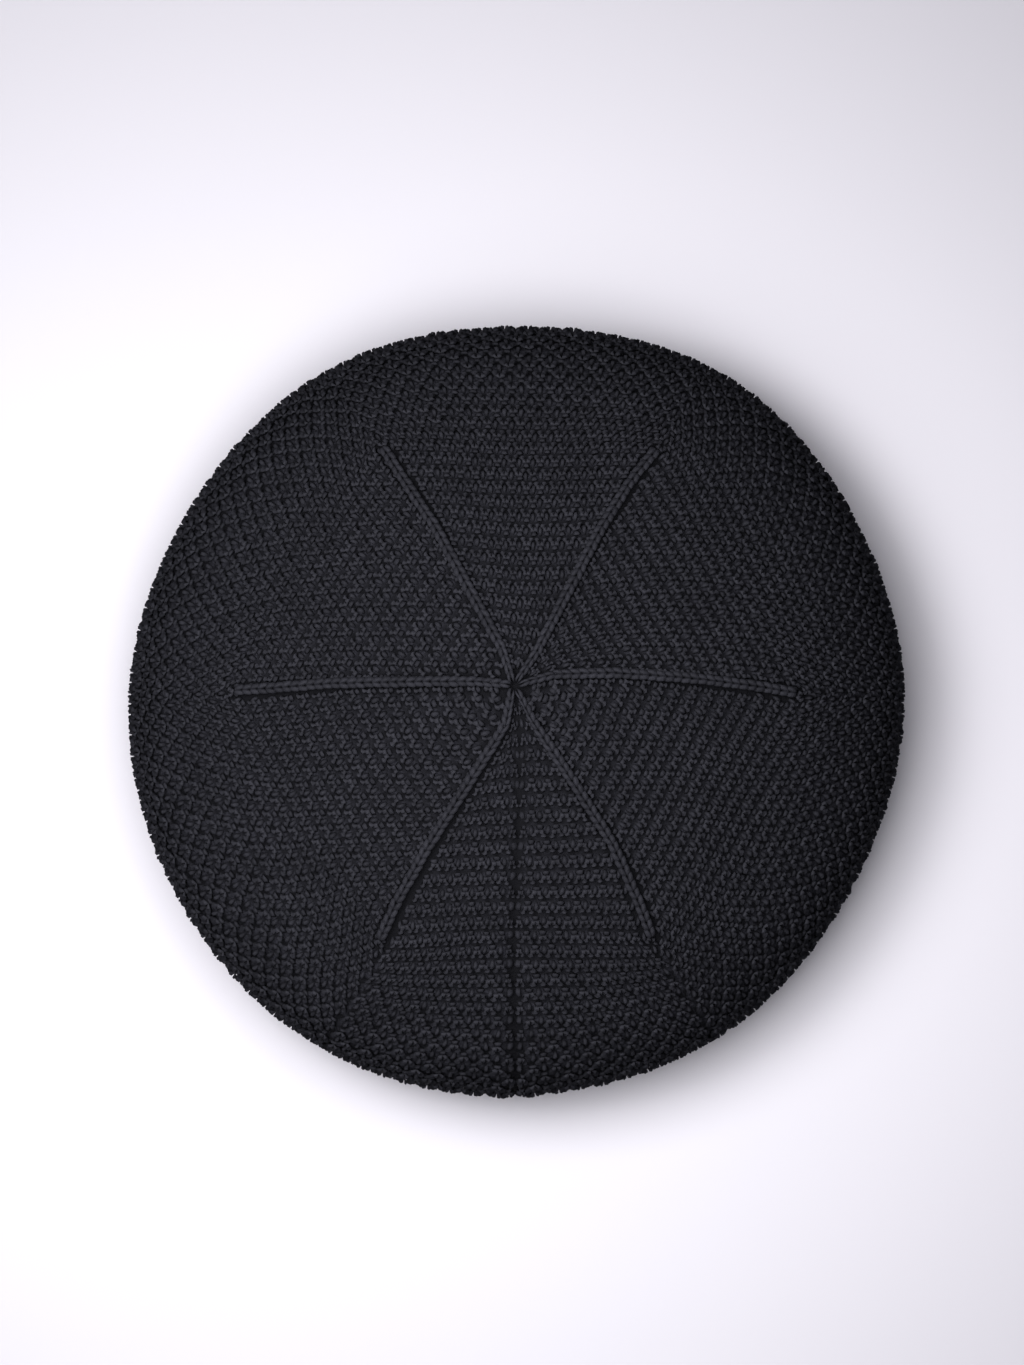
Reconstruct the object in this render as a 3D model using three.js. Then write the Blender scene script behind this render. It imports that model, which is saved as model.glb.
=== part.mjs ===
// A knitted beret: a soft hollow crown with six ribs and a back seam, standing on its head band.
// Millimetres, +Z up. The origin is under the middle of the outline, on the surface that the hat
// rests on. The back seam runs towards -Y, and turns are counted from +X towards +Y.
import * as THREE from "three";
import { mergeVertices } from "three/addons/utils/BufferGeometryUtils.js";

// Driving sizes
const RIM_RADIUS = 137;
const RIM_LEVEL = 32;
const DOME_RISE = 62;
const DOME_ROUNDNESS = 2;
const FABRIC = 3;
const BAND_RADIUS = 86;
const BAND_HEIGHT = 24;
const BAND_FABRIC = 3.6;
const BAND_EDGE = 0.6;
const SEAM_GAP = 0.3;

// The underside leaves the band upwards, sags, and turns up into the rim: one cubic curve, whose two
// inner points stand this far above the band's top and at this level below the rim.
const UNDERSIDE_LIFT = 5;
const UNDERSIDE_SAG_LEVEL = 6;

// Six ribs run from the middle to this fraction of the rim radius, each a low ridge between two turns
// (degrees) beside its line. They fade in and out over a short fraction.
const RIBS = 6;
const RIB_SPACING = 360 / RIBS;
const RIB = { height: 0.8, halfTurn: 2.2, length: 0.72, fade: 0.05 };

// The back seam is a groove. It fades in over this distance from the middle.
const SEAM_TURN = 270;
const SEAM_GROOVE = { depth: 1.4, halfWidth: 2.6, fade: 8 };

// The plan isn't quite round: waves round the rim, each with how often it comes in one turn, its
// height in mm and the turn of one of its crests in degrees. They fade towards the middle, by this
// power of the fraction of the rim radius.
const RIM_WAVE_FADE = 3;
const RIM_WAVES = [
  { count: 2, height: 1.3, crest: 55 },
  { count: 3, height: 0.5, crest: 30 },
  { count: 4, height: 0.3, crest: 40 },
  { count: 5, height: 0.25, crest: -20 },
  { count: 6, height: 0.7, crest: 0 },
  { count: 7, height: 0.2, crest: 5 },
];

// Beyond the end of each rib the dome stands a little fuller and then falls steeply.
const RIB_END_FULLNESS = { height: 1.1, at: 0.72, spread: 0.13 };

// How far each rib, and the seam, strays sideways (mm, positive anticlockwise) from its straight
// line at a tenth, a quarter, and so on, of the rim radius. Within the core the swing stays the same.
const STRAY_CORE = 4;
const STRAY_STATIONS = [0.1, 0.25, 0.45, 0.6, 0.75];
const LINES = [
  { name: "rib_1", turn: 0, stray: [3.5, 4, 2.5, 0.5, -2.5] },
  { name: "rib_2", turn: 60, stray: [-1, 0, 1.5, 1, -2] },
  { name: "rib_3", turn: 120, stray: [-3, -3.5, -4.5, -3.5, -3] },
  { name: "rib_4", turn: 180, stray: [-1, -1, -1, 0, 0.5] },
  { name: "rib_5", turn: 240, stray: [4.5, 3.5, 2, 2, 4] },
  { name: "seam", turn: SEAM_TURN, stray: [1.5, 1.5, 0.5, -0.5, -0.5] },
  { name: "rib_6", turn: 300, stray: [-0.5, 1, 2.5, 0.5, -2.5] },
];

// Mesh steps
const DOME_STEPS = 14;
const UNDERSIDE_STEPS = 12;
const PANEL_STEPS = 10;
const SEAM_TURNS = [-2, 2];

const radians = THREE.MathUtils.degToRad;

function bell(distance, spread) {
  return Math.exp(-((distance / spread) ** 2));
}

// Shortest way round from one turn to another, in degrees
function turnBetween(from, to) {
  return THREE.MathUtils.euclideanModulo(to - from + 180, 360) - 180;
}

// A row of straying values, read at a fraction of the rim radius. It starts from nothing at the
// middle and fades out at the rim.
function strayAt(row, fraction) {
  const stations = [0, ...STRAY_STATIONS, 1];
  const values = [0, ...row, 0];
  let step = 0;
  while (step < stations.length - 2 && fraction > stations[step + 1]) step += 1;
  const share = (fraction - stations[step]) / (stations[step + 1] - stations[step]);
  return THREE.MathUtils.lerp(values[step], values[step + 1], THREE.MathUtils.clamp(share, 0, 1));
}

// Sideways stray in mm at any turn, eased from one line to the next
function sidewaysStray(turn, fraction) {
  const around = THREE.MathUtils.euclideanModulo(turn, 360);
  const next = (LINES.findIndex((line) => line.turn > around) + LINES.length) % LINES.length;
  const before = LINES[(next + LINES.length - 1) % LINES.length];
  const after = LINES[next];
  const width = THREE.MathUtils.euclideanModulo(after.turn - before.turn, 360);
  const share = THREE.MathUtils.euclideanModulo(around - before.turn, 360) / width;
  const eased = THREE.MathUtils.smoothstep(share, 0, 1);
  return THREE.MathUtils.lerp(strayAt(before.stray, fraction), strayAt(after.stray, fraction), eased);
}

// The section's stations, from the head opening out to the rim and up to the middle of the dome:
// the point on the outer face, the way out of the fabric, and how much of the rim's shape it takes.
function crownSection() {
  const openingLevel = BAND_HEIGHT + SEAM_GAP;
  const underside = new THREE.CubicBezierCurve(
    new THREE.Vector2(BAND_RADIUS, openingLevel),
    new THREE.Vector2(BAND_RADIUS, openingLevel + UNDERSIDE_LIFT),
    new THREE.Vector2(RIM_RADIUS, UNDERSIDE_SAG_LEVEL),
    new THREE.Vector2(RIM_RADIUS, RIM_LEVEL),
  );
  const stations = [];
  for (let step = 0; step < UNDERSIDE_STEPS; step += 1) {
    const share = step / UNDERSIDE_STEPS;
    const point = underside.getPoint(share);
    const along = underside.getTangent(share);
    const rimShare = (point.x - BAND_RADIUS) / (RIM_RADIUS - BAND_RADIUS);
    const out = new THREE.Vector2(along.y, -along.x);
    stations.push({ point, out, rimShare, onDome: false, atOpening: step === 0 });
  }
  for (let step = 0; step <= DOME_STEPS; step += 1) {
    const lean = (Math.PI / 2) * (1 - step / DOME_STEPS);
    const fraction = Math.sin(lean) ** (2 / DOME_ROUNDNESS);
    const point = new THREE.Vector2(RIM_RADIUS * fraction, RIM_LEVEL + DOME_RISE * Math.cos(lean));
    const steepness = (DOME_RISE * DOME_ROUNDNESS * fraction ** (DOME_ROUNDNESS - 1)) / 2;
    const out = new THREE.Vector2(steepness, RIM_RADIUS * Math.cos(lean)).normalize();
    const rimShare = fraction ** RIM_WAVE_FADE;
    stations.push({ point, out, rimShare, onDome: true, atOpening: false });
  }
  return stations;
}

// Turns of the columns: three on each rib, three on the seam, the rest spread evenly between them
function columnTurns() {
  const turns = [];
  for (let rib = 0; rib < RIBS; rib += 1) {
    const line = rib * RIB_SPACING;
    turns.push(line - RIB.halfTurn, line, line + RIB.halfTurn);
    const panel = RIB_SPACING - 2 * RIB.halfTurn;
    for (let step = 1; step < PANEL_STEPS; step += 1) {
      turns.push(line + RIB.halfTurn + (panel * step) / PANEL_STEPS);
    }
  }
  for (const aside of SEAM_TURNS) turns.push(SEAM_TURN + aside);
  return turns.sort((one, other) => one - other);
}

// The place of one station at one turn. depth is how far under the outer face the point lies.
function fabricPoint(station, turn, depth) {
  const { point, out, rimShare, onDome, atOpening } = station;
  const fraction = Math.min(point.x / RIM_RADIUS, 1);
  let wave = 0;
  for (const row of RIM_WAVES) wave += row.height * Math.cos(radians(row.count * (turn - row.crest)));
  let raise = 0;
  if (onDome) {
    const { height, at, spread } = RIB_END_FULLNESS;
    raise += height * Math.cos(radians(RIBS * turn)) * bell(fraction - at, spread);
    const nearestRib = Math.round(turn / RIB_SPACING) * RIB_SPACING;
    const offRib = Math.abs(turnBetween(nearestRib, turn)) / RIB.halfTurn;
    const ribFade = THREE.MathUtils.smoothstep(RIB.length - fraction, 0, RIB.fade);
    const middleFade = THREE.MathUtils.smoothstep(fraction, 0, RIB.fade);
    raise += RIB.height * Math.max(0, 1 - offRib) * ribFade * middleFade;
  }
  const offSeam = radians(turnBetween(SEAM_TURN, turn)) * point.x;
  const seamFade = atOpening ? 0 : THREE.MathUtils.smoothstep(point.x, 0, SEAM_GROOVE.fade);
  raise -= SEAM_GROOVE.depth * bell(offSeam, SEAM_GROOVE.halfWidth) * seamFade;
  const radius = Math.max(0, point.x + out.x * (raise - depth) + wave * rimShare);
  const level = point.y + out.y * (raise - depth);
  const stray = onDome ? sidewaysStray(turn, fraction) : 0;
  const swing = stray / Math.max(radius, STRAY_CORE);
  const angle = radians(turn) + swing;
  return new THREE.Vector3(radius * Math.cos(angle), radius * Math.sin(angle), level);
}

// A lathed ring or shell whose columns are set at the given turns by a placing function
function turnedSolid(rows, turns, place) {
  const blank = new THREE.LatheGeometry(rows.map((row) => new THREE.Vector2(row.r, row.z)), turns.length);
  const places = blank.getAttribute("position");
  for (let index = 0; index < places.count; index += 1) {
    const column = Math.floor(index / rows.length) % turns.length;
    const spot = place(rows[index % rows.length], turns[column]);
    places.setXYZ(index, spot.x, spot.y, spot.z);
  }
  blank.deleteAttribute("normal");
  blank.deleteAttribute("uv");
  const solid = mergeVertices(blank, 1e-4);
  solid.computeVertexNormals();
  return solid;
}

function crownGeometry() {
  const stations = crownSection();
  const outer = stations.map((station) => ({ station, depth: 0 }));
  const inner = stations.map((station) => ({ station, depth: FABRIC })).reverse();
  const rows = [...inner, ...outer].map(({ station, depth }) => {
    const r = Math.max(0, station.point.x - station.out.x * depth);
    return { station, depth, r, z: station.point.y - station.out.y * depth };
  });
  return turnedSolid(rows, columnTurns(), (row, turn) => fabricPoint(row.station, turn, row.depth));
}

function bandGeometry() {
  const outside = BAND_RADIUS;
  const inside = BAND_RADIUS - BAND_FABRIC;
  const rows = [
    { r: outside - BAND_EDGE, z: 0 },
    { r: outside, z: BAND_EDGE },
    { r: outside, z: BAND_HEIGHT / 2 },
    { r: outside, z: BAND_HEIGHT },
    { r: inside, z: BAND_HEIGHT },
    { r: inside, z: BAND_HEIGHT / 2 },
    { r: inside, z: BAND_EDGE },
    { r: inside + BAND_EDGE, z: 0 },
  ];
  rows.push(rows[0]);
  return turnedSolid(rows, columnTurns(), (row, turn) => {
    const angle = radians(turn);
    return new THREE.Vector3(row.r * Math.cos(angle), row.r * Math.sin(angle), row.z);
  });
}

function knitMaterial(color) {
  return new THREE.MeshStandardMaterial({ color, roughness: 0.9, metalness: 0 });
}

const crown = new THREE.Mesh(crownGeometry(), knitMaterial(0x28292e));
crown.name = "crown";

const headBand = new THREE.Mesh(bandGeometry(), knitMaterial(0x222328));
headBand.name = "head_band";

const beret = new THREE.Group();
beret.add(crown, headBand);
const middle = new THREE.Box3().setFromObject(beret).getCenter(new THREE.Vector3());
beret.position.set(-middle.x, -middle.y, 0);

export default beret;
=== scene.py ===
"""A black knitted beret: six panels of textured knit between six ribs, and a ribbed head band.

The fabric is worked out as a knitter would: courses are counted outwards from the middle of the
crown, and wales sideways from the middle of each panel. Every stitch is a short length of yarn,
laid on the crown's surface. Sizes are in metres, and turns are counted from +X towards +Y.
"""

import math

import bmesh
import bpy
import numpy as np
from mathutils import Matrix, Vector


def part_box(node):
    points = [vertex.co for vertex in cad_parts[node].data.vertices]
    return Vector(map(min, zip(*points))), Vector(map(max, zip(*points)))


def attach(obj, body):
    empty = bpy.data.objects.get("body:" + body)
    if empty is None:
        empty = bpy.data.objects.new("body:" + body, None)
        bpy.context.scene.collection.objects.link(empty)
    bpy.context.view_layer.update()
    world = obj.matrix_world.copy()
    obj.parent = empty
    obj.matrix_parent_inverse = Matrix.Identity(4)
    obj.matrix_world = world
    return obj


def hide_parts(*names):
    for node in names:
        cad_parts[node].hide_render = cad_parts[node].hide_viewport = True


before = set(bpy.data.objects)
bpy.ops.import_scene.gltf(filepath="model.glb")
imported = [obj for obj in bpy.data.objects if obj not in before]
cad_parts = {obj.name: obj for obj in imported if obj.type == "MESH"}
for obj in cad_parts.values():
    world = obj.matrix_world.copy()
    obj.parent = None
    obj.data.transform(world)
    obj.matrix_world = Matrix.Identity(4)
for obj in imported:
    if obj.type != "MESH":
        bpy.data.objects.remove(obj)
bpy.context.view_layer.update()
MM = 0.001

# The crown's section and plan, as the frame has them
RIM_RADIUS = 137 * MM
RIM_LEVEL = 32 * MM
DOME_RISE = 62 * MM
DOME_ROUNDNESS = 2
UNDERSIDE_LIFT = 5 * MM
UNDERSIDE_SAG_LEVEL = 6 * MM
BAND_LOW, BAND_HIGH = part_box("head_band")
BAND_RADIUS = (BAND_HIGH.x - BAND_LOW.x) / 2
BAND_GAP = 0.3 * MM
OPENING_LEVEL = BAND_HIGH.z + BAND_GAP
HAT_AXIS = (BAND_LOW + BAND_HIGH) / 2
FABRIC = 3 * MM
RIM_WAVES = [
    # waves in one turn, height, turn of a crest
    (2, 1.3 * MM, 55),
    (3, 0.5 * MM, 30),
    (4, 0.3 * MM, 40),
    (5, 0.25 * MM, -20),
    (6, 0.7 * MM, 0),
    (7, 0.2 * MM, 5),
]
RIB_END_FULLNESS = {"height": 1.1 * MM, "at": 0.72, "spread": 0.13}

# The back seam: a groove that fades out towards the middle and the head opening, and the two lips
# where it crosses the rim
SEAM = {"turn": 270, "depth": 1.3 * MM, "half_width": 1.2 * MM, "fade": 8 * MM, "full_from": 0.05}
SEAM_LOBES = {"height": 1.6 * MM, "half_width": 6 * MM}

# How the ribs and the seam stray from their straight lines, at stations given as shares of the rim
# radius. Within the core the swing stays the same.
STRAY_CORE = 4 * MM
STRAY_STATIONS = [0, 0.1, 0.25, 0.45, 0.6, 0.75, 1]
STRAYS = [
    # turn of the line, and how many mm it strays anticlockwise at each station
    (0, [0, 3.5, 4, 2.5, 0.5, -2.5, 0]),
    (60, [0, -1, 0, 1.5, 1, -2, 0]),
    (120, [0, -3, -3.5, -4.5, -3.5, -3, 0]),
    (180, [0, -1, -1, -1, 0, 0.5, 0]),
    (240, [0, 4.5, 3.5, 2, 2, 4, 0]),
    (270, [0, 1.5, 1.5, 0.5, -0.5, -0.5, 0]),
    (300, [0, -0.5, 1, 2.5, 0.5, -2.5, 0]),
]

# The knit, in stitches. A row of texture takes two courses, and every other wale has a loop.
PANELS = 6
PANEL_WALES = 36
RIB_COURSES = 33
CROWN_COURSES = 84
ROW_COURSES = 2
FIRST_ROW = 1
COURSE = 2.59 * MM
HALF_PANEL = math.radians(180 / PANELS)
WALE = RIB_COURSES * COURSE * math.tan(HALF_PANEL) / (PANEL_WALES / 2)
PANEL_MARGIN = 3
CHART_WALES = PANEL_WALES + 2 * PANEL_MARGIN
CHART_COURSES = CROWN_COURSES + 2 * PANEL_MARGIN
CHART_STEPS = 2
HELD_SHIFT = 0.08
YARN_FLATNESS = 0.7
GROUND_DEPTH = 1.8 * MM
GROUND_COLUMNS = 41

# How much one stitch differs from the next, the long swells in the knit, and how far they move it
# (in wales, courses and metres). The ribs and the band take only the last share of all this.
STITCH_SPREAD = {"turn": (0, 0, 0.15), "size": (0.09, 0.09, 0.1), "place": (0.06, 0.06, 0.2 * MM)}
SWELLS = {"Scale": 0.55, "Detail": 1.0}
WANDER = (0.16, 0.16, 0.6 * MM)
NEAT = 0.5

# Seeds: ten are kept for each panel, and one for each rib and for the band
PANEL_SEEDS = 10
RIB_SEEDS = 100
BAND_SEED = 200

# Painted shade on the ground behind the stitches, in the holes and along the row lines, each with
# the wale and the course where it is darkest
PAINTED_SHADE_IN_LOOPS = {"wale": 0, "course": 1.55, "strength": 0.6}
PAINTED_SHADE_BELOW_HELDS = {"wale": 1, "course": 1.9, "strength": 1.0}
PAINTED_SHADE_ROW_LINE = {"course": 2.1, "strength": 0.5}

# Beside the seam: how far the wales close up, where the last ones stand, and how far the painted
# shade on the ground reaches, all in wales
SEAM_SHIFT = 0.42
SEAM_EDGE = {"held": 0.31, "loop": 0.54, "loop_width": 0.62, "sunk": 0.4 * MM}
SEAM_SHADE = 0.7

# The ribs: their sizes, how far each leans, and the room in wales on its lit and its shaded side
RIB = {"start": 1 * MM, "half_width": 2.9 * MM, "lift": 1.5 * MM, "pitch": 2.9 * MM}
RIB_CORE = 3 * MM
RIB_NARROWING = {"at_middle": 0.7, "full_from": 25 * MM}
RIB_LEAN = 0.5 * MM
RIB_ROOM = 0.8
RIB_GROOVE = 1.2
RIB_GRID = (9, 121)

# The head band, folded double. Its wall is straight down to the fold.
BAND_INSIDE = BAND_RADIUS - 3.6 * MM
BAND_FOLD = (BAND_RADIUS - BAND_INSIDE) / 2
FOLD_LEVEL = 0.15 * MM
BAND_WALL = BAND_HIGH.z - BAND_FOLD - FOLD_LEVEL
BAND_COLUMNS = 96
BAND_ROW_STEPS = 8
BAND_GROUND_DEPTH = 1.2 * MM
BAND_GROUND_GRID = (181, 49)


def smooth(share):
    """Eases from 0 to 1, and stays there beyond."""
    share = np.clip(share, 0, 1)
    return share * share * (3 - 2 * share)


def bell(distance, spread):
    """1 at no distance, falling away to nothing over about two spreads."""
    return np.exp(-((distance / spread) ** 2))


def crown_section(steps=500):
    """The crown's outer line, from the middle of the dome over the rim to the head opening.

    Seven rows, with a value for each point: distance along the fabric, radius, level, the outward
    direction (two rows), how much of the rim's waves it takes, and 1 on the dome or 0 below.
    """
    lean = np.linspace(0, math.pi / 2, steps)
    share = np.sin(lean) ** (2 / DOME_ROUNDNESS)
    dome_r, dome_z = RIM_RADIUS * share, RIM_LEVEL + DOME_RISE * np.cos(lean)
    along = np.linspace(1, 0, steps)[1:]
    corners_r = [BAND_RADIUS, BAND_RADIUS, RIM_RADIUS, RIM_RADIUS]
    corners_z = [OPENING_LEVEL, OPENING_LEVEL + UNDERSIDE_LIFT, UNDERSIDE_SAG_LEVEL, RIM_LEVEL]
    weights = [(1 - along) ** 3, 3 * (1 - along) ** 2 * along, 3 * (1 - along) * along**2, along**3]
    under_r = sum(w * c for w, c in zip(weights, corners_r))
    under_z = sum(w * c for w, c in zip(weights, corners_z))
    radius, level = np.append(dome_r, under_r), np.append(dome_z, under_z)
    reach = np.append(0, np.cumsum(np.hypot(np.diff(radius), np.diff(level))))
    slope_r, slope_z = np.gradient(radius, reach), np.gradient(level, reach)
    out_r, out_z = -slope_z, slope_r
    under_share = (under_r - BAND_RADIUS) / (RIM_RADIUS - BAND_RADIUS)
    rim_share = np.append(share**3, under_share)
    on_dome = np.append(np.ones(steps), np.zeros(steps - 1))
    return reach, radius, level, out_r, out_z, rim_share, on_dome


SECTION = crown_section()
FULL_REACH = SECTION[0][-1]


def stray_at(turn, share):
    """Sideways stray in metres at any turn, eased from one line to the next."""
    turn, share = np.broadcast_arrays(np.mod(turn, 360), share)
    stray = np.zeros(turn.shape)
    for (before, here), (after, there) in zip(STRAYS, STRAYS[1:] + STRAYS[:1]):
        width = (after - before) % 360
        past = np.mod(turn - before, 360) / width
        eased = smooth(past)
        here_now = np.interp(share, STRAY_STATIONS, here)
        there_now = np.interp(share, STRAY_STATIONS, there)
        stray = np.where(past < 1, here_now + (there_now - here_now) * eased, stray)
    return stray * MM


def crown_point(reach, turn, lift=0.0):
    """The place on the crown at a turn in degrees, so far from the middle along the fabric."""
    reach, turn = np.broadcast_arrays(np.asarray(reach, float), np.asarray(turn, float))
    radius, level, out_r, out_z, rim_share, on_dome = (
        np.interp(reach, SECTION[0], column) for column in SECTION[1:]
    )
    share = np.clip(radius / RIM_RADIUS, 0, 1)
    wave = sum(
        height * np.cos(np.radians(count * (turn - crest))) for count, height, crest in RIM_WAVES
    )
    bulge = bell(share - RIB_END_FULLNESS["at"], RIB_END_FULLNESS["spread"])
    raised = RIB_END_FULLNESS["height"] * np.cos(np.radians(PANELS * turn)) * bulge * on_dome
    off_seam = np.radians(np.mod(turn - SEAM["turn"] + 180, 360) - 180) * radius
    groove = bell(off_seam, SEAM["half_width"]) * smooth(radius / SEAM["fade"])
    raised = raised - SEAM["depth"] * groove * smooth(rim_share / SEAM["full_from"]) + lift
    lobes = SEAM_LOBES["height"] * bell(off_seam, SEAM_LOBES["half_width"])
    out = np.maximum(0, radius + out_r * raised + wave * rim_share + lobes * rim_share**3)
    swing = on_dome * stray_at(turn, share) / np.maximum(out, STRAY_CORE)
    angle = np.radians(turn) + swing
    x = HAT_AXIS.x + out * np.cos(angle)
    y = HAT_AXIS.y + out * np.sin(angle)
    return np.stack([x, y, level + out_z * raised], axis=-1)


def panel_place(wale, course):
    """Reach and turn from the panel's middle line of a wale and a course (counted from the middle).

    As far as the rib ends, the courses are straight and the wales lie side by side. Beyond, the
    courses round off to the head opening, and the wales spread evenly.
    """
    flat = np.minimum(course, RIB_COURSES)
    down, aside = flat * COURSE, wale * WALE
    reach, turn = np.hypot(down, aside), np.degrees(np.arctan2(aside, down))
    beyond = np.clip((course - RIB_COURSES) / (CROWN_COURSES - RIB_COURSES), 0, None)
    even_turn = wale * (360 / PANELS / PANEL_WALES)
    turn = turn + (even_turn - turn) * smooth(beyond)
    reach = reach + (FULL_REACH - reach) * beyond
    return reach, turn


def panel_middle(panel):
    """The turn of a panel's middle line, in degrees."""
    return (panel + 0.5) * 360 / PANELS


def has_seam(panel):
    return panel_middle(panel) == SEAM["turn"]


# ---- Meshes and objects -------------------------------------------------------------------------

def new_object(name, data):
    thing = bpy.data.objects.new(name, data)
    bpy.context.scene.collection.objects.link(thing)
    return thing


def new_mesh(name, places, faces, uv_name, uv):
    """A smooth mesh, with a UV map of one place for each corner of its faces."""
    mesh = bpy.data.meshes.new(name)
    mesh.from_pydata(places, [], faces)
    layer = mesh.uv_layers.new(name=uv_name)
    layer.uv.foreach_set("vector", np.asarray(uv, np.float32).ravel())
    mesh.shade_smooth()
    return mesh


def grid_faces(rows, columns):
    """The numbers of the four corners of each face of a grid."""
    index = np.arange(rows * columns).reshape(rows, columns)
    corners = [index[:-1, :-1], index[:-1, 1:], index[1:, 1:], index[1:, :-1]]
    return np.stack(corners, axis=-1).reshape(-1, 4)


def grid_sheet(name, places, uv):
    """A sheet through a grid of places, rows by columns, with its UV map."""
    faces = grid_faces(*places.shape[:2])
    corners = uv.reshape(-1, 2)[faces.ravel()]
    return new_object(name, new_mesh(name, places.reshape(-1, 3), faces, "knit", corners))


# ---- Node trees ---------------------------------------------------------------------------------

def socket_of(sockets, key):
    """The socket at a place in the row, or the one in use that has this name."""
    if isinstance(key, int):
        return sockets[key]
    return next(socket for socket in sockets if socket.name == key and socket.enabled)


class Nodes:
    """Short ways to add the nodes of a tree and to join them."""

    def __init__(self, tree):
        self.tree = tree

    def feed(self, socket, value):
        if isinstance(value, bpy.types.NodeSocket):
            self.tree.links.new(value, socket)
        else:
            socket.default_value = value

    def add(self, kind, inputs=None, output=0, **settings):
        """Adds a node with its settings and inputs, and returns one of its outputs."""
        node = self.tree.nodes.new(kind)
        for name, value in settings.items():
            setattr(node, name, value)
        for key, value in (inputs or {}).items():
            self.feed(socket_of(node.inputs, key), value)
        return socket_of(node.outputs, output) if node.outputs else None

    def vector(self, operation, one, other):
        return self.add("ShaderNodeVectorMath", {0: one, 1: other}, operation=operation)

    def scaled(self, vector, by):
        return self.add("ShaderNodeVectorMath", {0: vector, "Scale": by}, operation="SCALE")


# ---- Stitches -----------------------------------------------------------------------------------
# A stitch is a tube along a short path. Each point says how far it lies across (in wales), along
# (in courses) and up (in mm), and how thick the yarn is there.

def yarn_tube(name, path, sides, radius):
    """A closed tube along a stitch's path, with a UV map along the yarn."""
    path = np.array(path, float)
    flat, thickness = path[:, :3] * (WALE, COURSE, MM), path[:, 3]
    heading = np.gradient(flat, axis=0)
    heading /= np.linalg.norm(heading, axis=1)[:, None]
    side = np.cross(heading, [0, 0, 1.0])
    side /= np.linalg.norm(side, axis=1)[:, None]
    top = np.cross(side, heading)
    points, uvs, steps = [], [], len(path)
    travelled = np.append(0, np.cumsum(np.linalg.norm(np.diff(flat, axis=0), axis=1)))
    for corner in range(sides):
        angle = 2 * math.pi * (corner + 0.5) / sides
        ring = math.cos(angle) * side + math.sin(angle) * YARN_FLATNESS * top
        points.append(flat + ring * (radius * thickness)[:, None])
    points = np.stack(points, axis=1) / (WALE, COURSE, 1)
    faces = []
    for step in range(steps - 1):
        here, there = step * sides, (step + 1) * sides
        low, high = travelled[step] / MM, travelled[step + 1] / MM
        for corner in range(sides):
            after = (corner + 1) % sides
            faces.append([here + corner, here + after, there + after, there + corner])
            left, right = corner / sides, (corner + 1) / sides
            uvs += [(left, low), (right, low), (right, high), (left, high)]
    for first, order in ((0, range(sides - 1, -1, -1)), ((steps - 1) * sides, range(sides))):
        faces.append([first + corner for corner in order])
        uvs += [(corner / sides, travelled[first // sides] / MM) for corner in order]
    return new_object(name, new_mesh(name, points.reshape(-1, 3), faces, "yarn", uvs))


def loop_stitch():
    """A loop: its legs come up, dip, and rise again in its head, so that it shows as four beads."""
    leg = [
        (0.50, -0.88, -2.20, 0.60),
        (0.57, -0.54, 0.00, 1.12),
        (0.46, -0.27, -1.20, 0.55),
        (0.28, 0.02, 0.10, 1.16),
    ]
    top = (0.00, 0.10, -1.20, 0.55)
    other_leg = [(-across, along, up, thickness) for across, along, up, thickness in leg]
    return yarn_tube("loop stitch", [*other_leg, top, *leg[::-1]], 5, 0.92 * MM)


def held_stitch():
    """The single upright strand between two loops."""
    path = [
        (0.00, -0.60, -2.20, 0.75),
        (-0.02, -0.30, -1.05, 1.00),
        (0.00, 0.00, -0.72, 1.10),
        (0.02, 0.30, -1.05, 1.00),
        (0.00, 0.60, -2.20, 0.75),
    ]
    return yarn_tube("held stitch", path, 5, 0.74 * MM)


def under_stitch():
    """The short strand that shows above the head of a loop."""
    path = [
        (-0.42, 0.50, -1.90, 0.85),
        (-0.18, 0.60, -0.90, 1.12),
        (0.10, 0.60, -0.90, 1.12),
        (0.36, 0.50, -1.90, 0.85),
    ]
    return yarn_tube("under stitch", path, 4, 0.82 * MM)


def plain_stitch():
    """Half of a plain stitch: one leg of its V, leaning out as it goes up."""
    path = [
        (0.10, -0.58, -1.60, 0.55),
        (0.22, -0.22, -0.90, 0.95),
        (0.34, 0.14, -0.66, 1.05),
        (0.42, 0.50, -0.90, 0.92),
        (0.38, 0.86, -1.60, 0.55),
    ]
    return yarn_tube("plain stitch", path, 5, 0.98 * MM)


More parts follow.
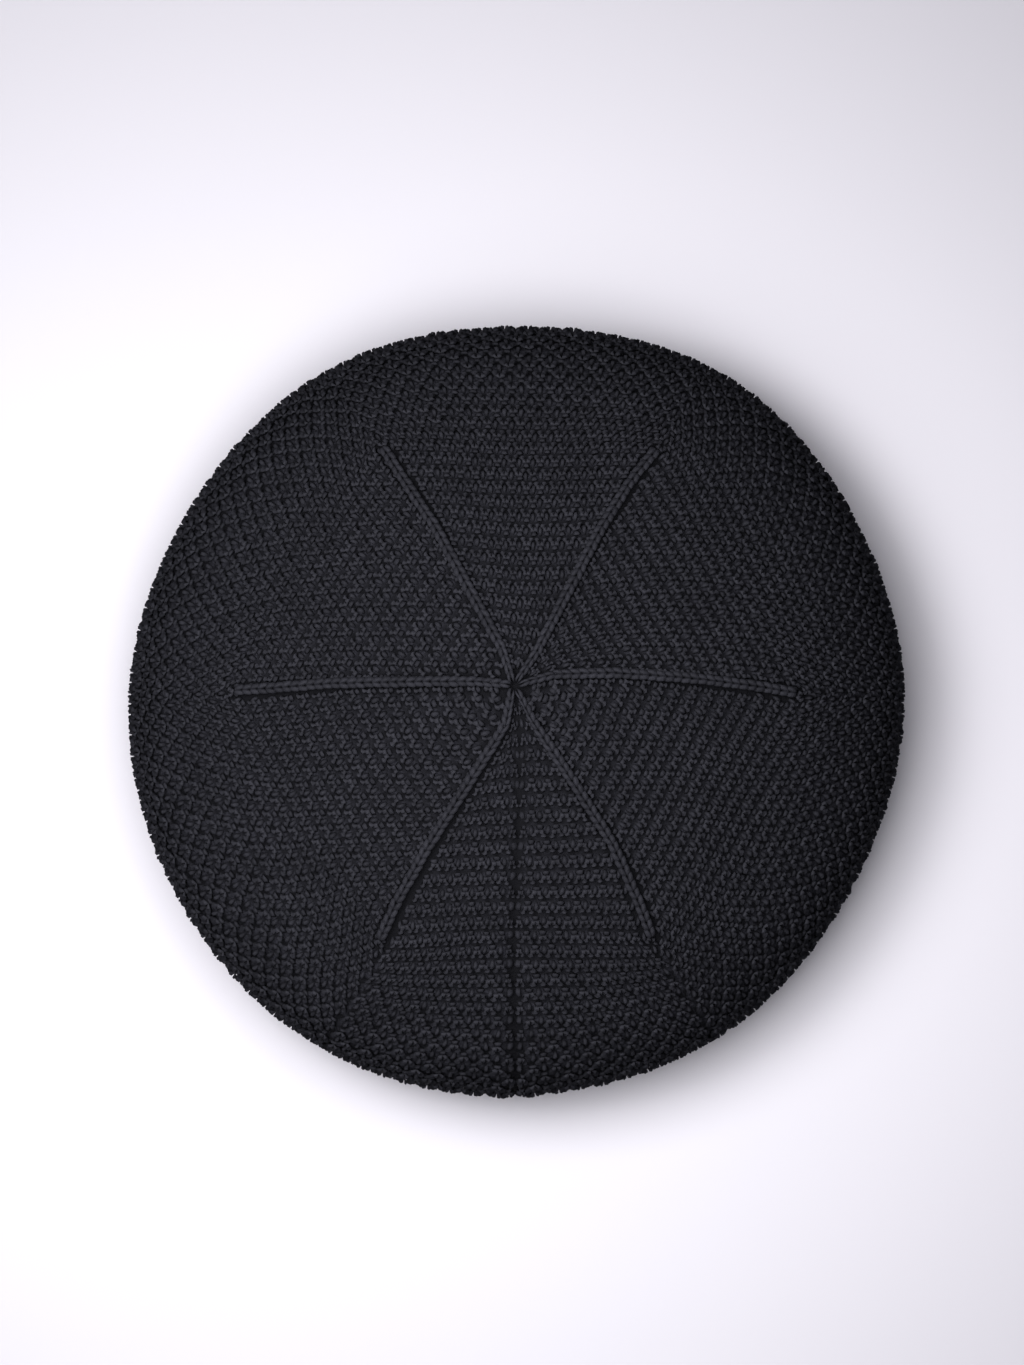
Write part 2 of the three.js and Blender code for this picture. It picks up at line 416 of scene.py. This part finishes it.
def stitch_tree():
    """Stitches on fabric: one stitch on each spot of a flat chart, then laid on the fabric.

    Each stitch is turned, sized and moved a little by itself, and the knit sways in long swells.
    """
    tree = bpy.data.node_groups.new("stitches on fabric", "GeometryNodeTree")
    for name, kind in (("Chart", "Geometry"), ("Stitch", "Object"), ("Fabric", "Object"),
                       ("Chart size", "Vector"), ("Unevenness", "Float"), ("Seed", "Int"),
                       ("Yarn", "Material")):
        tree.interface.new_socket(name, in_out="INPUT", socket_type="NodeSocket" + kind)
    tree.interface.new_socket("Knit", in_out="OUTPUT", socket_type="NodeSocketGeometry")
    nodes = Nodes(tree)
    given = nodes.add("NodeGroupInput").node.outputs

    def mesh_of(name):
        inputs = {"Object": given[name]}
        return nodes.add("GeometryNodeObjectInfo", inputs, "Geometry", transform_space="ORIGINAL")

    def random(low, high, draw, kind):
        seed = nodes.add("FunctionNodeIntegerMath", {0: given["Seed"], 1: draw}, operation="ADD")
        inputs = {"Min": low, "Max": high, "Seed": seed}
        return nodes.add("FunctionNodeRandomValue", inputs, "Value", data_type=kind)

    def uneven(spread, draw):
        """A random vector for each stitch, up to this size both ways."""
        low = tuple(-size for size in spread)
        return nodes.scaled(random(low, spread, draw, "FLOAT_VECTOR"), given["Unevenness"])

    def moved(geometry, **inputs):
        return nodes.add("GeometryNodeSetPosition", {"Geometry": geometry, **inputs})

    def stored(geometry, name, domain, value):
        inputs = {"Geometry": geometry, "Name": name, "Value": value}
        kind = {"data_type": "FLOAT", "domain": domain}
        return nodes.add("GeometryNodeStoreNamedAttribute", inputs, **kind)

    def named(name):
        kind = {"data_type": "FLOAT_VECTOR"}
        return nodes.add("GeometryNodeInputNamedAttribute", {"Name": name}, "Attribute", **kind)

    grown = nodes.vector("ADD", uneven(STITCH_SPREAD["size"], 2), (1, 1, 1))
    stitches = nodes.add("GeometryNodeInstanceOnPoints", {
        "Points": moved(given["Chart"], Offset=uneven(STITCH_SPREAD["place"], 3)),
        "Instance": mesh_of("Stitch"),
        "Rotation": uneven(STITCH_SPREAD["turn"], 1),
        "Scale": nodes.vector("MULTIPLY", named("stretch"), grown),
    })
    toned = stored(stitches, "tone", "INSTANCE", random(0.0, 1.0, 4, "FLOAT"))
    real = nodes.add("GeometryNodeRealizeInstances", {"Geometry": toned})

    position = nodes.add("GeometryNodeInputPosition")
    in_mm = nodes.vector("MULTIPLY", position, (WALE / MM, COURSE / MM, 1 / MM))
    inputs = {"Vector": in_mm, "W": given["Seed"], **SWELLS}
    swell = nodes.add("ShaderNodeTexNoise", inputs, "Color", noise_dimensions="4D")
    sway = nodes.vector("MULTIPLY", nodes.vector("SUBTRACT", swell, (0.5, 0.5, 0.5)), WANDER)
    swayed = moved(real, Offset=nodes.scaled(sway, given["Unevenness"]))

    share = nodes.vector("DIVIDE", position, given["Chart size"])
    chart_uv = nodes.vector("ADD", share, (0.5, 0, 0))
    fabric, fabric_map = mesh_of("Fabric"), named("knit")

    def on_fabric(value):
        inputs = {"Mesh": fabric, "Value": value, "UV Map": fabric_map, "Sample UV": chart_uv}
        return nodes.add("GeometryNodeSampleUVSurface", inputs, "Value", data_type="FLOAT_VECTOR")

    height = nodes.add("ShaderNodeSeparateXYZ", {0: position}, "Z")
    outwards = nodes.scaled(on_fabric(nodes.add("GeometryNodeInputNormal")), height)
    # each point's height above the fabric, which the yarn's painted shade and its gloss read
    marked = stored(swayed, "height", "POINT", height)
    draped = moved(marked, Position=nodes.vector("ADD", on_fabric(position), outwards))
    inputs = {"Geometry": draped, "Material": given["Yarn"]}
    nodes.add("NodeGroupOutput", {"Knit": nodes.add("GeometryNodeSetMaterial", inputs)})
    return tree


STITCH_TREE = stitch_tree()


def knit(name, spots, stitch, fabric, chart_size, yarn, seed, unevenness=1.0):
    """Lays a stitch on each spot of a chart: across, along, up, stretch across, stretch along."""
    spots = np.array(spots, float)
    chart = bpy.data.meshes.new(name + " chart")
    chart.from_pydata(spots[:, :3], [], [])
    stretch = chart.attributes.new("stretch", "FLOAT_VECTOR", "POINT")
    stretch.data.foreach_set("vector", np.column_stack([spots[:, 3:], np.ones(len(spots))]).ravel())
    piece = new_object(name, chart)
    modifier = piece.modifiers.new("stitches", "NODES")
    modifier.node_group = STITCH_TREE
    given = {"Stitch": stitch, "Fabric": fabric, "Chart size": chart_size, "Unevenness": unevenness,
             "Seed": seed, "Yarn": yarn}
    for socket in STITCH_TREE.interface.items_tree:
        if socket.name in given:
            modifier[socket.identifier] = given[socket.name]
    evaluated = piece.evaluated_get(bpy.context.evaluated_depsgraph_get())
    finished = bpy.data.meshes.new_from_object(evaluated)
    piece.modifiers.remove(modifier)
    piece.data = finished
    bpy.data.meshes.remove(chart)
    return piece


def joined(name, pieces):
    """Pieces of knit as one mesh."""
    with bpy.context.temp_override(active_object=pieces[0], selected_editable_objects=pieces):
        bpy.ops.object.join()
    pieces[0].name = pieces[0].data.name = name
    return pieces[0]


# ---- Materials ----------------------------------------------------------------------------------

class Finish(Nodes):
    """A new material, with short ways to add what the finishes of this hat are made of."""

    def __init__(self, name):
        self.material = bpy.data.materials.new(name)
        self.material.use_nodes = True
        super().__init__(self.material.node_tree)

    def maths(self, operation, *values):
        return self.add("ShaderNodeMath", dict(enumerate(values)), operation=operation)

    def ramp(self, value, start, end, low=0.0, high=1.0, eased=False):
        """Goes from low to high as the value goes from start to end, and stays so beyond."""
        inputs = {0: value, 1: start, 2: end, 3: low, 4: high}
        kind = "SMOOTHSTEP" if eased else "LINEAR"
        return self.add("ShaderNodeMapRange", inputs, interpolation_type=kind)

    def noise(self, scale, detail):
        """Soft noise with so many lumps to a metre."""
        place = self.add("ShaderNodeTexCoord", output="Object")
        return self.add("ShaderNodeTexNoise", {"Vector": place, "Scale": scale, "Detail": detail})

    def wave(self, value, crest, spacing):
        """A wave between -1 and 1, with a crest at one value and then at every spacing."""
        shifted = self.maths("SUBTRACT", value, crest)
        return self.maths("COSINE", self.maths("MULTIPLY", shifted, 2 * math.pi / spacing))

    def stored(self, name):
        return self.add("ShaderNodeAttribute", output="Fac", attribute_name=name)

    def counts(self, name):
        """The two counts of a UV map, across and along."""
        chart = self.add("ShaderNodeUVMap", uv_map=name)
        split = self.add("ShaderNodeSeparateXYZ", {0: chart}).node.outputs
        return split["X"], split["Y"]

    def blend(self, share, dark, light):
        inputs = {0: share, 6: (*dark, 1), 7: (*light, 1)}
        return self.add("ShaderNodeMix", inputs, output=2, data_type="RGBA")

    def bump(self, height, strength, depth):
        inputs = {"Strength": strength, "Distance": depth, "Height": height}
        return self.add("ShaderNodeBump", inputs)

    def shade(self, inputs):
        """Feeds the shader's own sockets, and returns the finished material."""
        shader = self.tree.nodes["Principled BSDF"]
        for name, value in inputs.items():
            self.feed(shader.inputs[name], value)
        return self.material


# Colours, from dark to light. For the ground and the wrong side of the knit, the dark end is
# painted shade.
YARN_TONES = (0.0064, 0.0064, 0.0083), (0.0141, 0.0141, 0.0180)
GROUND_PAINTED_SHADE_TONES = (0.0034, 0.0034, 0.0043), (0.0136, 0.0136, 0.0176)
INSIDE_PAINTED_SHADE_TONES = (0.002, 0.002, 0.003), (0.010, 0.010, 0.013)

# The yarn's twist, and the heights above the fabric between which its painted shade and its gloss
# change
PLIES = 2.0
TWISTS_PER_MM = 1.1
DEEP, PROUD, SURFACE = -1.6 * MM, 0.7 * MM, 0.2 * MM


def yarn_material():
    """Soft black yarn: two plies twisted together, short fibres, and stitches that differ a little.

    Its colour carries painted shade, darker where it lies deep in the fabric and lighter where it
    stands proud, and it is less dull where it stands proud.
    """
    yarn = Finish("black wool yarn")
    level, grain = yarn.stored("height"), yarn.noise(1500.0, 2.0)
    uneven = yarn.maths("ADD", yarn.stored("tone"), yarn.noise(60.0, 3.0))
    colour = yarn.blend(yarn.maths("MULTIPLY", uneven, 0.5), *YARN_TONES)
    # painted shade: the yarn's colour darkens where it lies deep in the fabric
    painted_depth_shade = yarn.ramp(level, DEEP, PROUD, 0.80, 1.10, eased=True)
    fleck = yarn.ramp(grain, 0.3, 0.7, 0.87, 1.13)
    dull = yarn.ramp(level, DEEP, SURFACE, 0.80, 0.50)
    around, along = yarn.counts("yarn")
    wound = yarn.maths("MULTIPLY", along, TWISTS_PER_MM)
    ply = yarn.wave(yarn.maths("MULTIPLY_ADD", around, PLIES, wound), 0.25, 1)
    height = yarn.maths("MULTIPLY_ADD", ply, 0.35, yarn.noise(2600.0, 2.0))
    return yarn.shade({
        "Base Color": yarn.scaled(colour, yarn.maths("MULTIPLY", painted_depth_shade, fleck)),
        "Roughness": yarn.maths("MULTIPLY_ADD", grain, 0.3, dull),
        "Specular IOR Level": 0.07,
        "Specular Tint": (0.95, 0.95, 1.0, 1),
        "Normal": yarn.bump(height, 0.3, 0.15 * MM),
    })


def ground_material():
    """The yarn that shows deep between the stitches: dull and uneven, with painted shade in the
    holes.

    The darkest painted shade lies below the held strands and less of it in the loops, on every
    other wale and changing over each row. A line of painted shade runs between the rows. In the
    grooves beside the ribs and the seam it is all painted shade.
    """
    ground = Finish("yarn behind the stitches")
    wale, course = ground.counts("knit")

    def painted_shade_spots(at):
        across = ground.wave(wale, at["wale"], 2)
        along = ground.wave(course, at["course"], 2 * ROW_COURSES)
        return ground.maths("MULTIPLY", ground.maths("MULTIPLY", across, along), at["strength"])

    spots = ground.maths("MAXIMUM", painted_shade_spots(PAINTED_SHADE_IN_LOOPS), painted_shade_spots(PAINTED_SHADE_BELOW_HELDS))
    line = ground.wave(course, PAINTED_SHADE_ROW_LINE["course"], ROW_COURSES)
    rows = ground.maths("MULTIPLY", line, PAINTED_SHADE_ROW_LINE["strength"])
    # painted shade: the ground darkens in the holes and along the lines between the rows
    level = ground.ramp(ground.maths("MAXIMUM", spots, rows), 0.0, 0.75, 1.0, 0.0, eased=True)
    patches = ground.noise(900.0, 2.0)
    uneven = ground.ramp(patches, 0.35, 0.65, 0.3, 1.0)
    # painted shade: the ground darkens in the grooves beside the ribs and the seam
    panel_edge = ground.maths("MULTIPLY", course, PANEL_WALES / 2 / RIB_COURSES)
    from_rib = ground.maths("SUBTRACT", panel_edge, ground.maths("ABSOLUTE", wale))
    painted_rib_groove_shade = ground.ramp(from_rib, 1.0, 2.0, eased=True)
    off_seam = ground.ramp(ground.stored("seam"), 0.0, 0.5, 1.0, 0.0)
    share = level
    for part in (uneven, painted_rib_groove_shade, off_seam):
        share = ground.maths("MULTIPLY", share, part)
    return ground.shade({
        "Base Color": ground.blend(share, *GROUND_PAINTED_SHADE_TONES),
        "Roughness": 0.9,
        "Specular IOR Level": 0.03,
        "Normal": ground.bump(patches, 1.0, 0.6 * MM),
    })


def inside_material():
    """The wrong side of the knit: staggered rows of short ridges, one on each wale, with painted
    shade between the ridges.
    """
    inside = Finish("wrong side of the knit")
    wale, course = inside.counts("knit")
    bow = inside.wave(wale, 0.25, 1)
    ridge = inside.wave(inside.maths("MULTIPLY_ADD", bow, 0.16, course), 0.25, 1)
    height = inside.maths("MULTIPLY_ADD", inside.noise(1500.0, 3.0), 0.5, ridge)
    return inside.shade({
        # painted shade: darker between the ridges, lighter on their tops
        "Base Color": inside.blend(inside.ramp(height, -1.0, 1.6), *INSIDE_PAINTED_SHADE_TONES),
        "Roughness": 0.6,
        "Specular IOR Level": 0.25,
        "Normal": inside.bump(height, 1.0, 0.5 * MM),
    })


YARN = yarn_material()
GROUND = ground_material()
INSIDE = inside_material()


# ---- Crown --------------------------------------------------------------------------------------

LOOP = loop_stitch()
HELD = held_stitch()
UNDER = under_stitch()
PLAIN = plain_stitch()


def panel_fabric(middle):
    """A sheet under one panel's stitches, with a margin all round. Its UV map counts them."""
    wales = np.linspace(-CHART_WALES / 2, CHART_WALES / 2, CHART_WALES * CHART_STEPS + 1)
    courses = np.linspace(0, CHART_COURSES, CHART_COURSES * CHART_STEPS + 1)
    across, along = np.meshgrid(wales, courses)
    reach, turn = panel_place(across, CROWN_COURSES + PANEL_MARGIN - along)
    places = crown_point(np.clip(reach, 0, FULL_REACH), middle + turn)
    uv = np.stack([across / CHART_WALES + 0.5, along / CHART_COURSES], axis=-1)
    return grid_sheet("panel fabric", places, uv)


def wale_width(course):
    """How wide a wale is at a course beyond the rib ends, against its width at the ribs."""
    reach = panel_place(0.0, course)[0]
    around = 2 * math.pi * np.interp(reach, SECTION[0], SECTION[1])
    return max(1.0, around / (PANELS * PANEL_WALES) / WALE)


def rib_width(reach):
    """How wide the ribs are at a distance from the middle, against their full width."""
    least = RIB_NARROWING["at_middle"]
    return least + (1 - least) * smooth(reach / RIB_NARROWING["full_from"])


def beside_ribs(panel, wale, course):
    """Where a wale stands between a panel's two ribs at a course, or None if it has no room.

    Each rib has more room on its shaded side. A wale that would lie under a rib's edge stands close
    beside it instead. Beyond the rib ends, the first wale is the last one of the panel before.
    """
    if course >= RIB_COURSES:
        return wale if wale > -PANEL_WALES // 2 else None
    edge, narrow = course / RIB_COURSES * PANEL_WALES / 2, rib_width(course * COURSE)
    room_before = RIB_GROOVE if panel >= PANELS / 2 else RIB_ROOM
    room_after = RIB_GROOVE if (panel + 1) % PANELS < PANELS / 2 else RIB_ROOM
    first, last = room_before * narrow - edge, edge - room_after * narrow
    has_room = first - 0.5 <= wale <= last + 0.5
    return max(first, min(last, wale)) if has_room else None


def panel_spots(panel):
    """Spots of the loops and held stitches of one panel: every other wale, changing over each row.

    Where the wales are stretched wide, the yarn stays as thick. The wale on the seam is left out,
    and those beside it close up and sink a little.
    """
    loops, helds = [], []
    for row in range(FIRST_ROW, CROWN_COURSES // ROW_COURSES):
        course = 1.0 + ROW_COURSES * row
        stretched = wale_width(course) if course > RIB_COURSES else 1.0
        for wale in range(-PANEL_WALES // 2, PANEL_WALES // 2 + 1):
            is_loop = (wale + row) % 2 == 0
            at = course if is_loop else course - HELD_SHIFT
            beside = beside_ribs(panel, wale, at)
            if beside is None or (has_seam(panel) and wale == 0):
                continue
            width, sunk = stretched**-0.5, 0
            if has_seam(panel):
                beside -= math.copysign(SEAM_SHIFT, wale)
            if has_seam(panel) and abs(wale) == 1:
                beside = math.copysign(SEAM_EDGE["loop" if is_loop else "held"], wale)
                width, sunk = SEAM_EDGE["loop_width"], -SEAM_EDGE["sunk"]
            along = CROWN_COURSES + PANEL_MARGIN - at
            if is_loop:
                loops.append((beside, along, sunk, width, 1))
            else:
                helds.append((beside, along, sunk, 1 / stretched, 1))
    return loops, helds


def crown_panels():
    pieces = []
    size = (CHART_WALES, CHART_COURSES, 1)
    for panel in range(PANELS):
        fabric = panel_fabric(panel_middle(panel))
        loops, helds = panel_spots(panel)
        kinds = (("loops", loops, LOOP), ("held", helds, HELD), ("under", loops, UNDER))
        parts = [
            knit(name, spots, stitch, fabric, size, YARN, PANEL_SEEDS * panel + number)
            for number, (name, spots, stitch) in enumerate(kinds, 1)
        ]
        pieces.append(joined(f"crown_panel_{panel + 1}", parts))
        bpy.data.objects.remove(fabric)
    return pieces


def crown_ribs():
    """Six columns of plain stitches, from the middle to the rib ends, a little narrower at first.

    Each rib leans to one side, so that the groove on its other side is the wider one.
    """
    parts = []
    end = RIB_COURSES * COURSE / math.cos(HALF_PANEL)
    count = round((end - RIB["start"]) / RIB["pitch"])
    for rib in range(PANELS):
        across = np.linspace(-RIB["half_width"], RIB["half_width"], RIB_GRID[0])
        wide, far = np.meshgrid(across, np.linspace(0, 1, RIB_GRID[1]))
        reach = end + (RIB["start"] - end) * far
        lean = RIB_LEAN if rib < PANELS / 2 else -RIB_LEAN
        aside = (wide + lean) * rib_width(reach)
        turn = rib * 360 / PANELS + np.degrees(aside / np.maximum(reach, RIB_CORE))
        places = crown_point(reach, turn, RIB["lift"])
        uv = np.stack([wide / (2 * RIB["half_width"]) + 0.5, far], axis=-1)
        fabric = grid_sheet("rib fabric", places, uv)
        spots = [(0.0, stitch, 0.0, side, 1) for stitch in range(1, count) for side in (-1, 1)]
        size = (2 * RIB["half_width"] / WALE, count, 1)
        parts.append(knit("rib", spots, PLAIN, fabric, size, YARN, RIB_SEEDS + rib, NEAT))
        bpy.data.objects.remove(fabric)
    return joined("crown_ribs", parts)


def closed_shell(name, grids, maps, seams, materials, first_rows):
    """Grids of places welded into one closed shell, with one material or two.

    Rows after the first ones have the second material. Each grid comes with its UV map, and with
    how near each place is to a seam, from 0 to 1.
    """
    faces, uv, second, count = [], [], [], 0
    for grid, chart in zip(grids, maps):
        rows, columns = grid.shape[:2]
        quads = grid_faces(rows, columns)
        faces.append(quads + count)
        uv.append(chart.reshape(-1, 2)[quads.ravel()])
        second.append(np.repeat(np.arange(rows - 1) >= first_rows, columns - 1))
        count += rows * columns
    places = np.concatenate([grid.reshape(-1, 3) for grid in grids])
    mesh = new_mesh(name, places, np.concatenate(faces), "knit", np.concatenate(uv))
    for material in materials:
        mesh.materials.append(material)
    mesh.polygons.foreach_set("material_index", np.concatenate(second).astype(np.int32))
    near_seam = mesh.attributes.new("seam", "FLOAT", "POINT")
    near_seam.data.foreach_set("value", np.concatenate(seams, axis=None).astype(np.float32))
    shell = bmesh.new()
    shell.from_mesh(mesh)
    bmesh.ops.remove_doubles(shell, verts=shell.verts, dist=0.01 * MM)
    bmesh.ops.recalc_face_normals(shell, faces=shell.faces)
    shell.to_mesh(mesh)
    shell.free()
    return new_object(name, mesh)


def crown_back():
    """The ground of the knit: the fabric behind the stitches, and the crown's inside."""
    courses = np.arange(CROWN_COURSES + 1.0)
    there_and_back = np.append(courses, courses[::-1])
    lifts = np.repeat([-GROUND_DEPTH, -FABRIC], len(courses))
    grids, maps, seams = [], [], []
    for panel in range(PANELS):
        across, along = np.meshgrid(np.linspace(-1, 1, GROUND_COLUMNS), there_and_back)
        wale = across * PANEL_WALES / 2 * np.minimum(along / RIB_COURSES, 1)
        reach, turn = panel_place(wale, along)
        grids.append(crown_point(reach, panel_middle(panel) + turn, lifts[:, None]))
        shift = SEAM_SHIFT * np.sign(wale) if has_seam(panel) else 0
        maps.append(np.stack([wale + shift, along], axis=-1))
        # how near the seam each place is, for the ground's painted shade there
        seams.append(bell(wale, SEAM_SHADE) * has_seam(panel))
    return closed_shell("crown_back", grids, maps, seams, [GROUND, INSIDE], len(courses))


# ---- Head band ----------------------------------------------------------------------------------

def band_point(down, turn, lift=0.0):
    """A place on the folded head band: down the outside, round the fold, and up the inside."""
    past_wall = down - BAND_WALL
    bend = np.clip(past_wall / BAND_FOLD, 0, math.pi)
    outside, inside = np.minimum(past_wall, 0), np.maximum(past_wall - math.pi * BAND_FOLD, 0)
    radius = (BAND_RADIUS + BAND_INSIDE) / 2 + (BAND_FOLD + lift) * np.cos(bend)
    level = FOLD_LEVEL + BAND_FOLD - (BAND_FOLD + lift) * np.sin(bend) - outside + inside
    angle = np.radians(turn)
    x, y = HAT_AXIS.x + radius * np.cos(angle), HAT_AXIS.y + radius * np.sin(angle)
    return np.stack([x, y, level], axis=-1)


def band_knit():
    """The doubled head band in a one-by-one rib: columns of plain stitches with a wale between."""
    length = 2 * BAND_WALL + math.pi * BAND_FOLD
    rows, wales, margin = round(length / COURSE), 2 * BAND_COLUMNS, PANEL_MARGIN
    size = (wales + 2 * margin, rows + 2 * margin, 1)
    across = np.linspace(-wales / 2 - margin, wales / 2 + margin, CHART_STEPS * size[0] + 1)
    along = np.linspace(-margin, rows + margin, BAND_ROW_STEPS * size[1] + 1)
    wide, far = np.meshgrid(across, along)
    places = band_point(far * length / rows, wide * 360 / wales)
    uv = np.stack([wide / size[0] + 0.5, (far + margin) / size[1]], axis=-1)
    fabric = grid_sheet("band fabric", places[:, ::-1], uv[:, ::-1])
    spots = [
        (column * 2 - BAND_COLUMNS + 0.5, row + 0.5 + margin, 0, side, 1)
        for column in range(BAND_COLUMNS) for row in range(rows) for side in (-1, 1)
    ]
    stitches = knit("band", spots, PLAIN, fabric, size, YARN, BAND_SEED, NEAT)
    stitches.name = stitches.data.name = "head_band_stitches"
    bpy.data.objects.remove(fabric)
    down = np.append(np.linspace(0, length, BAND_GROUND_GRID[1]), 0)
    turn, far = np.meshgrid(np.linspace(0, 360, BAND_GROUND_GRID[0]), down)
    ring = band_point(far, turn, -BAND_GROUND_DEPTH)
    chart = np.stack([turn * wales / 360, far / COURSE], axis=-1)
    no_seam = np.zeros(turn.shape)
    back = closed_shell("head_band_back", [ring], [chart], [no_seam], [GROUND], len(down))
    return stitches, back


crown = [*crown_panels(), crown_ribs(), crown_back()]
band = list(band_knit())
for template in (LOOP, HELD, UNDER, PLAIN):
    bpy.data.objects.remove(template)

for pieces, slot, node in ((crown, "crown_knit", "crown"), (band, "band_knit", "head_band")):
    for piece in pieces:
        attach(piece, "root")
    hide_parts(node)


# ---- Floor, light and camera --------------------------------------------------------------------

FLOOR = {"half_size": 4.0, "colour": (0.457, 0.443, 0.481, 1)}
LAMPS = [
    # name, place, size, power
    ("lamp above", (-0.02, 0.0, 0.5), 0.4, 3.6),
    ("lamp below left", (-0.17, -0.19, 0.5), 0.4, 2.0),
    ("lamp left", (-0.34, 0.08, 0.72), 0.35, 3.9),
]
ROOM = {"Color": (0.86, 0.87, 1.0, 1), "Strength": 0.14}
# The camera's aim, from the hat's axis and from the floor, its distance, and its angles in degrees
CAMERA = {"aim": (-1.2 * MM, 4.8 * MM), "level": 60 * MM, "distance": 1.1, "tilt": 6.3,
          "swing": 2.9, "angle": 24.25}


def floor():
    size = FLOOR["half_size"]
    corners = [(-size, -size, 0), (size, -size, 0), (size, size, 0), (-size, size, 0)]
    mesh = bpy.data.meshes.new("floor")
    mesh.from_pydata(corners, [], [(0, 1, 2, 3)])
    inputs = {"Base Color": FLOOR["colour"], "Roughness": 0.6, "Specular IOR Level": 0.2}
    mesh.materials.append(Finish("pale table").shade(inputs))
    new_object("floor", mesh)


def area_light(name, place, size, power):
    """A round lamp that shines on the middle of the floor."""
    light = bpy.data.lights.new(name, "AREA")
    light.shape = "DISK"
    light.size, light.energy = size, power
    lamp = new_object(name, light)
    lamp.location = place
    lamp.visible_camera = False
    lamp.rotation_euler = (-Vector(place)).to_track_quat("-Z", "Y").to_euler()


def room_light():
    world = bpy.data.worlds.new("room")
    world.use_nodes = True
    background = world.node_tree.nodes["Background"]
    for name, value in ROOM.items():
        background.inputs[name].default_value = value
    bpy.context.scene.world = world


def camera():
    """A camera almost straight above, leaning a little towards the back seam."""
    aim = HAT_AXIS + Vector((*CAMERA["aim"], 0))
    aim.z = CAMERA["level"]
    tilt, swing = math.radians(CAMERA["tilt"]), math.radians(CAMERA["swing"])
    flat = math.sin(tilt)
    towards = Vector((flat * math.sin(swing), -flat * math.cos(swing), math.cos(tilt)))
    up = (Vector((0, 1, 0)) - towards * towards.y).normalized()
    right = up.cross(towards)
    data = bpy.data.cameras.new("camera")
    data.sensor_fit = "VERTICAL"
    data.angle = math.radians(CAMERA["angle"])
    view = new_object("camera", data)
    turned = Matrix((right, up, towards)).transposed().to_4x4()
    view.matrix_world = Matrix.Translation(aim + towards * CAMERA["distance"]) @ turned
    bpy.context.scene.camera = view


floor()
for lamp_settings in LAMPS:
    area_light(*lamp_settings)
room_light()
camera()
bpy.context.scene.view_settings.view_transform = "Standard"
